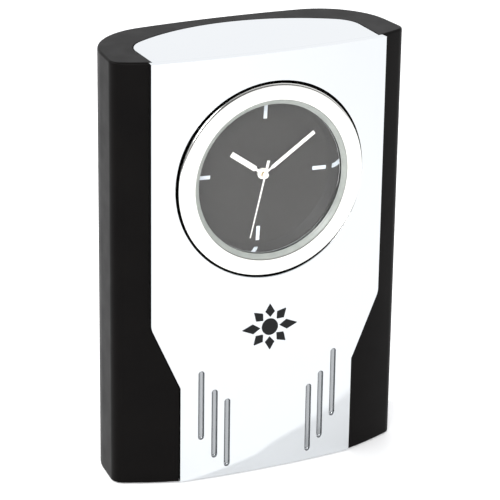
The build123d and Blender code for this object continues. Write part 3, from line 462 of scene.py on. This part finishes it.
def soften(piece, width, segments=3):
    """Rounds every crisp edge of a piece."""
    take(piece)
    rounding = piece.modifiers.new("edge", "BEVEL")
    rounding.width = width
    rounding.segments = segments
    rounding.limit_method = "ANGLE"
    rounding.angle_limit = radians(32)
    bpy.ops.object.modifier_apply(modifier=rounding.name)
    return piece


def copy_of(piece, name):
    """A copy with its own mesh."""
    other = piece.copy()
    other.data = piece.data.copy()
    other.name = name
    bpy.context.scene.collection.objects.link(other)
    return other


def shifted(piece, step):
    """Moves a piece, its place kept in its mesh."""
    take(piece)
    piece.location = step
    bpy.ops.object.transform_apply(location=True, rotation=False, scale=False)
    return piece


slot_radius, slot_length = 1.1 * mm, 25.85 * mm
slot_spots = ((15.6, 3.7), (20.3, 7.8), (25.2, 15.4))
edge_round, lid_round, lip_round = 0.28 * mm, 0.22 * mm, 0.2 * mm
# The opening sits a little above the insert, as if the insert rested on its lower edge. This is a
# guess, which makes the gap round the bezel wider at the top.
hole_z = dial_z + 0.13 * mm
cover = face_slab("chromed_cover", 0, 0, face_thick)
# The slots get a chrome at half the brightness: painted shade standing in for the shade and the dark double
# reflections inside the grooves.
slot_shade_chrome = surface("chrome darkened as painted shade in the slots", (0.30, 0.31, 0.32), 0.12, 1.0)
scuff(slot_shade_chrome, cloud(slot_shade_chrome, 2 * mm, 4.0), 0.08, 0.2)
dress(cover, chrome)
cover.data.materials.append(slot_shade_chrome)
deselect()
bpy.ops.mesh.primitive_uv_sphere_add(segments=48, ring_count=24, radius=slot_radius,
                                     location=(0, 0, slot_radius))
groove = named("groove")
dress(groove, chrome)
groove.data.materials.append(slot_shade_chrome)
groove.active_material_index = 1
bpy.ops.object.mode_set(mode="EDIT")
bpy.ops.mesh.select_all(action="SELECT")
bpy.ops.object.material_slot_assign()
pick("verts", lambda vert: vert.co.z > slot_radius + touching)
bpy.ops.transform.translate(value=(0, 0, slot_length - 2 * slot_radius))
bpy.ops.object.mode_set(mode="OBJECT")
for x, low in slot_spots:
    for side in (-1, 1):
        slot = shifted(copy_of(groove, "slot"), (side * unrolled(x * mm), 0, low * mm))
        combine(cover, slot, "DIFFERENCE")
bpy.data.objects.remove(groove)
soften(cover, edge_round)
combine(cover, round_rod("hole", opening, -wall, 2 * wall, z=hole_z, sides=256), "DIFFERENCE")
take(cover)
bpy.ops.object.mode_set(mode="EDIT")
pick("edges", lambda edge: all(
    abs(v.co.y) < touching and abs(Vector((v.co.x, v.co.z - hole_z)).length - opening) < 5 * touching
    for v in edge.verts))
bpy.ops.mesh.bevel(offset=lip_round, segments=4, affect="EDGES")
bpy.ops.object.mode_set(mode="OBJECT")
strips(cover, 43 * mm, 1 * mm)
bow(cover, face_bow, face_y)
lid_gap = 0.04 * mm
lid = lid_plan("lid", 0, face_thick + lid_gap, clock_high - lid_thick, clock_high)
soften(lid, lid_round)
dress(lid, chrome)
cover = joined([cover, lid])
smooth(cover)
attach(cover, "clock_body")
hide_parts("front_cover")

# ---- Emblem ----
# A plain eight-ray sun cut from thin dark sheet and stuck on under the dial, wider than it is
# tall: a round middle and eight leaf-shaped rays, each a separate bit.
emblem_coat = surface("dark satin enamel", (0.006, 0.0065, 0.007), 0.35, IOR=1.25)
scuff(emblem_coat, cloud(emblem_coat, 2 * mm), 0.28, 0.45)
relief(emblem_coat, cloud(emblem_coat, 0.4 * mm), 0.006 * mm)

emblem_z, emblem_thick = 54.0 * mm, 0.3 * mm
sun_radius, ray_start, ray_half = 3.0 * mm, 3.7 * mm, 1.75 * mm
side_reach, ray_reach, swell_share = 10.4 * mm, 8.5 * mm, 0.4


def sun_ray(reach, angle):
    """One leaf-shaped ray: a square pulled out to its points, thickened and turned to its place."""
    deselect()
    bpy.ops.mesh.primitive_circle_add(vertices=4, radius=1, fill_type="NGON", location=(0, 0, 0),
                                      rotation=(pi / 2, 0, 0))
    ray = named("ray")
    swell = ray_start + (reach - ray_start) * swell_share
    ray.scale = (1, 1, ray_half)
    bpy.ops.object.transform_apply(location=False, rotation=False, scale=True)
    bpy.ops.object.mode_set(mode="EDIT")
    pick("verts", lambda vert: vert.co.x > 0.5)
    bpy.ops.transform.translate(value=(reach - swell - 1, 0, 0))
    pick("verts", lambda vert: vert.co.x < -0.5)
    bpy.ops.transform.translate(value=(ray_start - swell + 1, 0, 0))
    bpy.ops.mesh.select_all(action="SELECT")
    bpy.ops.transform.translate(value=(swell, 0, 0))
    bpy.ops.mesh.extrude_region_move(TRANSFORM_OT_translate={"value": (0, -emblem_thick, 0)})
    bpy.ops.mesh.select_all(action="SELECT")
    bpy.ops.mesh.normals_make_consistent(inside=False)
    bpy.ops.transform.rotate(value=angle, orient_axis="Y", center_override=(0, 0, 0))
    bpy.ops.object.mode_set(mode="OBJECT")
    return ray


bits = [round_rod("emblem_sun", sun_radius, -emblem_thick, 0, 0, 0)]
for ray in range(8):
    bits.append(sun_ray(side_reach if ray % 4 == 0 else ray_reach, radians(45 * ray)))
emblem = shifted(joined(bits), (0, 0, emblem_z))
soften(emblem, 0.06 * mm, 2)
strips(emblem, 10 * mm, 2 * mm)
bow(emblem, face_bow, face_y)
smooth(emblem)
dress(emblem, emblem_coat)
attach(emblem, "clock_body")
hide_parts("emblem")

# ---- Bezel ----
# A turned metal ring with a polished, slightly domed front face and a spigot that passes through
# the housing to the ring nut behind.


def deep(depth):
    """Y of a depth behind the middle of the face."""
    return face_y + depth * mm


def turned_ring(name, outline, sides=256, filled=False):
    """A ring drawn out of one circle through (radius, depth) corners, back to the first or filled in."""
    radius, depth = outline[0]
    deselect()
    bpy.ops.mesh.primitive_circle_add(vertices=sides, radius=radius * mm,
                                      fill_type="NGON" if filled else "NOTHING",
                                      location=(0, deep(depth), dial_z), rotation=(pi / 2, 0, 0))
    ring = named(name)
    bpy.ops.object.mode_set(mode="EDIT")
    bpy.ops.mesh.select_mode(type="EDGE")
    bpy.ops.mesh.select_all(action="SELECT")
    if filled:
        pick("edges", lambda edge: True)
    corners = outline if filled else outline + outline[:1]
    for (old_radius, old), (new_radius, new) in zip(corners, corners[1:]):
        bpy.ops.mesh.extrude_edges_move(TRANSFORM_OT_translate={"value": (0, (new - old) * mm, 0)})
        grow = new_radius / old_radius
        bpy.ops.transform.resize(value=(grow, 1, grow), center_override=(0, 0, dial_z))
    if filled:
        bpy.ops.mesh.edge_face_add()
    bpy.ops.mesh.select_all(action="SELECT")
    bpy.ops.mesh.remove_doubles(threshold=touching / 10)
    bpy.ops.mesh.normals_make_consistent(inside=False)
    bpy.ops.object.mode_set(mode="OBJECT")
    return ring


def lathe_lines(finish, pitch, height):
    """Fine turning marks round the dial axis."""
    nodes, links = finish.node_tree.nodes, finish.node_tree.links
    place = nodes.new("ShaderNodeTexCoord")
    centre = nodes.new("ShaderNodeMapping")
    centre.inputs["Location"].default_value = (0, 0, -dial_z)
    rings = nodes.new("ShaderNodeTexWave")
    rings.wave_type = "RINGS"
    rings.rings_direction = "Y"
    rings.inputs["Scale"].default_value = 0.314 / pitch
    rings.inputs["Distortion"].default_value = 0.6
    rings.inputs["Detail"].default_value = 2.0
    links.new(place.outputs["Object"], centre.inputs["Vector"])
    links.new(centre.outputs["Vector"], rings.inputs["Vector"])
    relief(finish, rings.outputs["Fac"], height)


bezel_metal = surface("polished warm nickel", (0.88, 0.875, 0.84), 0.12, 1.0)
scuff(bezel_metal, cloud(bezel_metal, 4 * mm, 4.0), 0.08, 0.18)
lathe_lines(bezel_metal, 0.25 * mm, 0.0006 * mm)
inner_lip = [(28.20, 0.30), (28.22, 0.12), (28.30, -0.01), (28.45, -0.08), (28.70, -0.10)]
bezel_front = [(29.8, -0.10), (31.0, -0.07), (32.4, 0.00), (33.2, 0.07)]
outer_lip = [(33.6, 0.16), (33.88, 0.34), (34.02, 0.60), (34.05, 0.90)]
bezel_back = [(34.05, 4.5), (30.9, 4.5), (30.9, 12.0), (28.20, 12.0)]
bezel = turned_ring("bezel_ring", inner_lip + bezel_front + outer_lip + bezel_back)
smooth(bezel, 28)
dress(bezel, bezel_metal)
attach(bezel, "clock_body")
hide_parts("bezel")

# ---- Glass and its seal ----
# A flat mineral glass, 1.8 mm thick, held in the bezel by a grey-green rubber ring whose front
# slopes in to the glass.
seal_rubber = surface("grey green rubber", (0.30, 0.32, 0.30), 0.35)
mottle(seal_rubber, cloud(seal_rubber, 3 * mm), (0.34, 0.36, 0.335), (0.28, 0.30, 0.28))
relief(seal_rubber, cloud(seal_rubber, 0.3 * mm), 0.004 * mm)
seal_groove = [(28.15, 0.05), (28.15, 3.15), (27.75, 3.15), (27.75, 1.35), (26.55, 1.35)]
seal_slope = [(26.55, 1.20), (27.05, 0.86), (27.10, 0.76), (27.90, 0.20), (28.00, 0.05)]
seal = turned_ring("glass_seal", seal_groove + seal_slope)
smooth(seal)
dress(seal, seal_rubber)
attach(seal, "clock_body")
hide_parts("glass_gasket")

clear_glass = surface("clear mineral glass", (1, 1, 1), 0.0, Transmission_Weight=1.0, IOR=1.42)
nodes, links = clear_glass.node_tree.nodes, clear_glass.node_tree.links
open_way = nodes.new("ShaderNodeBsdfTransparent")
ray_kind = nodes.new("ShaderNodeLightPath")
either = nodes.new("ShaderNodeMixShader")
links.new(ray_kind.outputs["Is Shadow Ray"], either.inputs["Fac"])
links.new(nodes["Principled BSDF"].outputs["BSDF"], either.inputs[1])
links.new(open_way.outputs["BSDF"], either.inputs[2])
links.new(either.outputs["Shader"], nodes["Material Output"].inputs["Surface"])
glass = turned_ring("dial_glass", [(27.60, 1.35), (27.70, 1.45), (27.70, 3.05), (27.60, 3.15)], filled=True)
smooth(glass)
dress(glass, clear_glass)
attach(glass, "clock_body")
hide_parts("glass")

# ---- Mirror wall ----
# A bright ring between the glass and the dial, so that the markers show again in its wall.
mirror_metal = surface("mirror wall", (0.72, 0.73, 0.73), 0.06, 1.0)
scuff(mirror_metal, cloud(mirror_metal, 3 * mm), 0.04, 0.10)
wall_outside = [(28.15, 3.15), (28.15, 9.30)]
wall_inside = [(25.78, 9.30), (25.61, 9.16), (26.44, 3.20), (26.50, 3.15)]
mirror_wall = turned_ring("mirror_ring", wall_outside + wall_inside)
smooth(mirror_wall)
dress(mirror_wall, mirror_metal)
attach(mirror_wall, "clock_body")
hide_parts("reflector_ring")

# ---- Dial and markers ----
# A thin metal dial sprayed matt warm grey, with four bright bars stuck on at the quarters.
dial_paint = surface("matt warm grey dial", (0.025, 0.0235, 0.0215), 0.6, IOR=1.3)
mottle(dial_paint, cloud(dial_paint, 14 * mm), (0.027, 0.0255, 0.0235), (0.023, 0.0215, 0.0195))
scuff(dial_paint, cloud(dial_paint, 1.5 * mm), 0.55, 0.7)
dial = turned_ring("dial_plate", [(28.10, 9.30), (28.10, 10.10), (1.80, 10.10), (1.80, 9.30)])
smooth(dial)
dress(dial, dial_paint)
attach(dial, "clock_body")
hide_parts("dial")

# The bars are white. Their blue tint is a painted reflection of the bright sky above them.
marker_white_sky_tint = surface("white marker with painted sky tint", (0.78, 0.84, 0.90), 0.3)
scuff(marker_white_sky_tint, cloud(marker_white_sky_tint, 1.2 * mm), 0.22, 0.4)
relief(marker_white_sky_tint, cloud(marker_white_sky_tint, 0.5 * mm), 0.003 * mm)


def clockwise(piece, degrees):
    """Turns a piece that was made at twelve to its place on the dial."""
    take(piece)
    bpy.ops.object.mode_set(mode="EDIT")
    bpy.ops.mesh.select_all(action="SELECT")
    bpy.ops.transform.rotate(value=-radians(degrees), orient_axis="Y", center_override=(0, 0, dial_z))
    bpy.ops.object.mode_set(mode="OBJECT")
    return piece


bar_half, bar_inner, bar_outer, bar_round = 0.65 * mm, 19.2 * mm, 24.3 * mm, 0.07 * mm
bar_front, dial_front, dial_turn = 9.05, 9.3, 2.9
bar = block("marker_12", (-bar_half, deep(bar_front), dial_z + bar_inner),
            (bar_half, deep(dial_front), dial_z + bar_outer))
soften(bar, bar_round)
clockwise(bar, dial_turn)
bars = [bar] + [clockwise(copy_of(bar, f"marker_{hour}"), 30 * hour) for hour in (3, 6, 9)]
for bar in bars:
    smooth(bar)
    dress(bar, marker_white_sky_tint)
    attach(bar, "clock_body")
    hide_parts("hour_markers")

# ---- Insert behind the dial ----
# A black tray carries the dial and the movement, and a black ring nut and a brass nut hold them.
brass = surface("brass", (0.72, 0.53, 0.22), 0.25, 1.0)
mottle(brass, cloud(brass, 1.5 * mm), (0.80, 0.60, 0.26), (0.62, 0.44, 0.17))
scuff(brass, cloud(brass, 0.7 * mm), 0.18, 0.36)
finish_nodes(inner_black, "dial_carrier", "clamp_ring", "movement_case_front", "movement_case_back")
finish_nodes(brass, "movement_nut", "cannon_pinion")

# ---- Works ----
# The movement: white acetal wheels, a magnet rotor in an iron stator, a copper coil on its bobbin
# and a small circuit board.
acetal = surface("white acetal", (0.78, 0.78, 0.75), 0.4)
mottle(acetal, cloud(acetal, 2 * mm), (0.82, 0.82, 0.79), (0.72, 0.72, 0.68))
scuff(acetal, cloud(acetal, 1 * mm), 0.32, 0.5)
iron = surface("soft iron", (0.42, 0.41, 0.40), 0.45, 1.0)
mottle(iron, cloud(iron, 2.5 * mm), (0.48, 0.47, 0.46), (0.34, 0.33, 0.32))
scuff(iron, cloud(iron, 1 * mm), 0.35, 0.55)
copper = surface("enamelled copper wire", (0.55, 0.22, 0.10), 0.3, 1.0)
mottle(copper, cloud(copper, 1.2 * mm), (0.62, 0.26, 0.12), (0.46, 0.17, 0.07))
relief(copper, cloud(copper, 0.2 * mm, 0.0, (0.1, 1, 1)), 0.05 * mm)
magnet = surface("sintered magnet", (0.10, 0.10, 0.105), 0.55, 0.6)
mottle(magnet, cloud(magnet, 0.6 * mm), (0.13, 0.13, 0.135), (0.08, 0.08, 0.085))
nickel = surface("nickel strip", (0.70, 0.68, 0.62), 0.22, 1.0)
mottle(nickel, cloud(nickel, 2 * mm), (0.74, 0.72, 0.66), (0.62, 0.60, 0.55))
scuff(nickel, cloud(nickel, 0.8 * mm), 0.15, 0.33)
board_green = surface("solder mask", (0.02, 0.14, 0.05), 0.35)
mottle(board_green, cloud(board_green, 1.5 * mm), (0.03, 0.17, 0.06), (0.015, 0.11, 0.04))
scuff(board_green, cloud(board_green, 0.8 * mm), 0.28, 0.45)
epoxy = surface("black epoxy", (0.012, 0.012, 0.013), 0.25)
scuff(epoxy, cloud(epoxy, 0.8 * mm), 0.18, 0.35)
finish_nodes(acetal, "intermediate_wheel", "second_wheel", "third_wheel", "centre_wheel", "reverse_wheel",
             "hour_wheel", "setting_shaft", "rotor", "coil_bobbin")
finish_nodes(iron, "coil_core", "stator")
finish_nodes(copper, "coil_winding")
finish_nodes(magnet, "rotor_magnet")
finish_nodes(nickel, "clutch_spring", "positive_contact", "negative_contact", "quartz_crystal",
             "battery_cap")
finish_nodes(board_green, "circuit_board")
finish_nodes(epoxy, "driver_chip")

# ---- Cell and setting knob ----
# A size AA cell in a printed sleeve, here plain, and the fluted black knob that sets the hands.
sleeve = surface("cell sleeve", (0.05, 0.16, 0.32), 0.3)
mottle(sleeve, cloud(sleeve, 10 * mm, 2.0), (0.055, 0.18, 0.35), (0.045, 0.14, 0.29))
scuff(sleeve, cloud(sleeve, 2 * mm), 0.22, 0.4)
finish_nodes(sleeve, "battery_cell")
finish_nodes(inner_black, "setting_knob")

# ---- Hands ----
# Three flat baton hands stamped from thin brass and painted ivory white, pressed on their pipes
# by open hubs, and a small cap over the second hand's hub.
ivory = surface("ivory white enamel", (0.95, 0.93, 0.88), 0.4)
scuff(ivory, cloud(ivory, 1.5 * mm), 0.3, 0.5)
relief(ivory, cloud(ivory, 0.4 * mm), 0.003 * mm)
hand_thick, hand_round, waist_half = 0.25, 0.05 * mm, 0.25
hour_angle, minute_angle, second_angle = 305.5, 55.7, 193.5


def hub_ring(name, outer, inner, near, far):
    """The open hub of a hand."""
    return turned_ring(name, [(outer, near), (outer, far), (inner, far), (inner, near)], sides=64)


def baton(name, depth, hub, bore, length, width, neck, blade_start, angle):
    """A baton hand made at twelve: an open hub, a narrow neck and a straight blade."""
    near, far = deep(depth), deep(depth + hand_thick)
    hand = hub_ring(name, hub, bore, depth, depth + hand_thick)
    middle = (hub + bore) / 2
    blade = block("blade", (-width / 2 * mm, near, dial_z + middle * mm),
                  (width / 2 * mm, far, dial_z + length * mm))
    bpy.ops.object.mode_set(mode="EDIT")
    for height in (blade_start - waist_half, blade_start + waist_half):
        bpy.ops.mesh.select_all(action="SELECT")
        bpy.ops.mesh.bisect(plane_co=(0, 0, dial_z + height * mm), plane_no=(0, 0, 1))
    pick("verts", lambda vert: vert.co.z < dial_z + blade_start * mm)
    bpy.ops.transform.resize(value=(neck / width, 1, 1), center_override=(0, 0, 0))
    bpy.ops.object.mode_set(mode="OBJECT")
    combine(hand, blade, "UNION")
    return finished_hand(hand, angle)


def finished_hand(hand, angle):
    """Rounds a hand's edges, turns it to the time and paints it."""
    soften(hand, hand_round, 2)
    clockwise(hand, angle)
    smooth(hand)
    dress(hand, ivory)
    return hand


hour_hand = baton("hour_baton", depth=8.15, hub=1.95, bore=1.5, length=14.5, width=1.95, neck=0.9,
                  blade_start=3.3, angle=hour_angle)
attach(hour_hand, "hour_works")
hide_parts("hour_hand")
minute_hand = baton("minute_baton", depth=7.25, hub=1.55, bore=1.0, length=22.6, width=1.35, neck=0.7,
                    blade_start=3.7, angle=minute_angle)
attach(minute_hand, "minute_works")
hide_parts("minute_hand")

second_depth, hub_middle = 6.25, 0.7 * mm
second_near, second_far = deep(second_depth), deep(second_depth + hand_thick)
needle_root, needle_tip, needle_long = 0.29 * mm, 0.17 * mm, 22.6 * mm
tail_half, tail_long = 0.475 * mm, 5.2 * mm
second_hand = hub_ring("second_needle", 1.0, 0.4, second_depth, second_depth + hand_thick)
needle = block("needle", (-needle_root, second_near, dial_z + hub_middle),
               (needle_root, second_far, dial_z + needle_long))
bpy.ops.object.mode_set(mode="EDIT")
pick("verts", lambda vert: vert.co.z > dial_z + needle_long / 2)
bpy.ops.transform.resize(value=(needle_tip / needle_root, 1, 1), center_override=(0, 0, 0))
bpy.ops.object.mode_set(mode="OBJECT")
tail = block("tail", (-tail_half, second_near, dial_z - tail_long),
             (tail_half, second_far, dial_z - hub_middle))
combine(second_hand, needle, "UNION")
combine(second_hand, tail, "UNION")
finished_hand(second_hand, second_angle)
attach(second_hand, "second_works")
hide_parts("second_hand")

cap_outline = [(1.05, 5.80), (1.15, 5.90), (1.15, 6.15), (0.20, 6.15)]
cap = turned_ring("second_cap", cap_outline, sides=64, filled=True)
dimple_radius, dimple_front, dimple_back = 0.3 * mm, deep(5.7), deep(6.0)
combine(cap, round_rod("dimple", dimple_radius, dimple_front, dimple_back, sides=32), "DIFFERENCE")
smooth(cap)
dress(cap, ivory)
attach(cap, "second_works")
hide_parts("second_hand_cap")

# ---- Back door ----
# A black leaf bowed like the housing's back, hinged at one side by a barrel with a pin at each
# end, stiffened by three ribs, with a closing tongue and a scoop for a finger at the other side. It
# is moulded and sprayed like the housing.
finish_nodes(soft_coat, "back_door")

# ---- Table, light and camera ----
# A white table in an evenly bright room, one small lamp high on the left behind the clock, whose
# shadow the chromed face mirrors, and a wide soft panel in front that lights the dial. The table
# glows a little of its own. Only reflections see a different room, bright above and behind the
# clock and dark in front of it. These levels were chosen.
deselect()
bpy.ops.mesh.primitive_plane_add(size=8.0, location=(0, 0, 0))
table = named("table")
table_white = surface("white table", (0.9, 0.9, 0.9), 0.5,
                      Emission_Color=(1, 1, 1, 1), Emission_Strength=0.1)
mottle(table_white, cloud(table_white, 60 * mm), (0.905, 0.905, 0.905), (0.895, 0.895, 0.895))
dress(table, table_white)

bright_side = (0.25, 0.75, 0.85)
dim_room, bright_room, even_room = 0.10, 1.25, 1.05
world = bpy.data.worlds.new("studio")
bpy.context.scene.world = world
world.use_nodes = True
nodes, links = world.node_tree.nodes, world.node_tree.links
heading = nodes.new("ShaderNodeTexCoord")
toward = nodes.new("ShaderNodeVectorMath")
toward.operation = "DOT_PRODUCT"
toward.inputs[1].default_value = bright_side
room_light = nodes.new("ShaderNodeMapRange")
room_light.interpolation_type = "SMOOTHSTEP"
room_light.inputs["From Min"].default_value = -0.45
room_light.inputs["From Max"].default_value = 0.35
room_light.inputs["To Min"].default_value = dim_room
room_light.inputs["To Max"].default_value = bright_room
ray_kind = nodes.new("ShaderNodeLightPath")
strength = nodes.new("ShaderNodeMix")
strength.inputs["A"].default_value = even_room
links.new(heading.outputs["Object"], toward.inputs[0])
links.new(toward.outputs["Value"], room_light.inputs["Value"])
links.new(ray_kind.outputs["Is Glossy Ray"], strength.inputs["Factor"])
links.new(room_light.outputs["Result"], strength.inputs["B"])
links.new(strength.outputs["Result"], nodes["Background"].inputs["Strength"])
nodes["Background"].inputs["Color"].default_value = (0.98, 0.985, 1.0, 1)

lit_spot = Vector((0, 0, 0.05))
lamps = (("soft lamp", 0.07, 23, (-1.325, 0.48, 1.45)), ("front panel", 0.7, 15, (-0.7, -1.25, 0.8)))
for name, size, energy, place in lamps:
    lamp = bpy.data.lights.new(name, "AREA")
    lamp.shape = "DISK"
    lamp.size = size
    lamp.energy = energy
    lamp_holder = bpy.data.objects.new(name, lamp)
    bpy.context.scene.collection.objects.link(lamp_holder)
    lamp_holder.location = place
    # Rays that pass through the glass don't meet the lamps: their light already crosses the glass
    # as a clear shadow, and would be counted twice.
    lamp_holder.visible_transmission = False
    lamp_holder.rotation_euler = (lit_spot - lamp_holder.location).to_track_quat("-Z", "Y").to_euler()

camera = bpy.data.cameras.new("camera")
camera.lens = 182.17
camera.sensor_width = 36.0
camera.clip_start = 0.01
camera_holder = bpy.data.objects.new("camera", camera)
bpy.context.scene.collection.objects.link(camera_holder)
camera_place = Vector((-0.3493, -0.74315, 0.3937))
camera_target = Vector((-0.0075, -0.02185, 0.0830))
camera_roll = 0.851
aim = (camera_target - camera_place).to_track_quat("-Z", "Y").to_matrix().to_4x4()
roll = Matrix.Rotation(radians(camera_roll), 4, "Z")
camera_holder.matrix_world = Matrix.Translation(camera_place) @ aim @ roll
bpy.context.scene.camera = camera_holder
bpy.context.scene.view_settings.view_transform = "Standard"
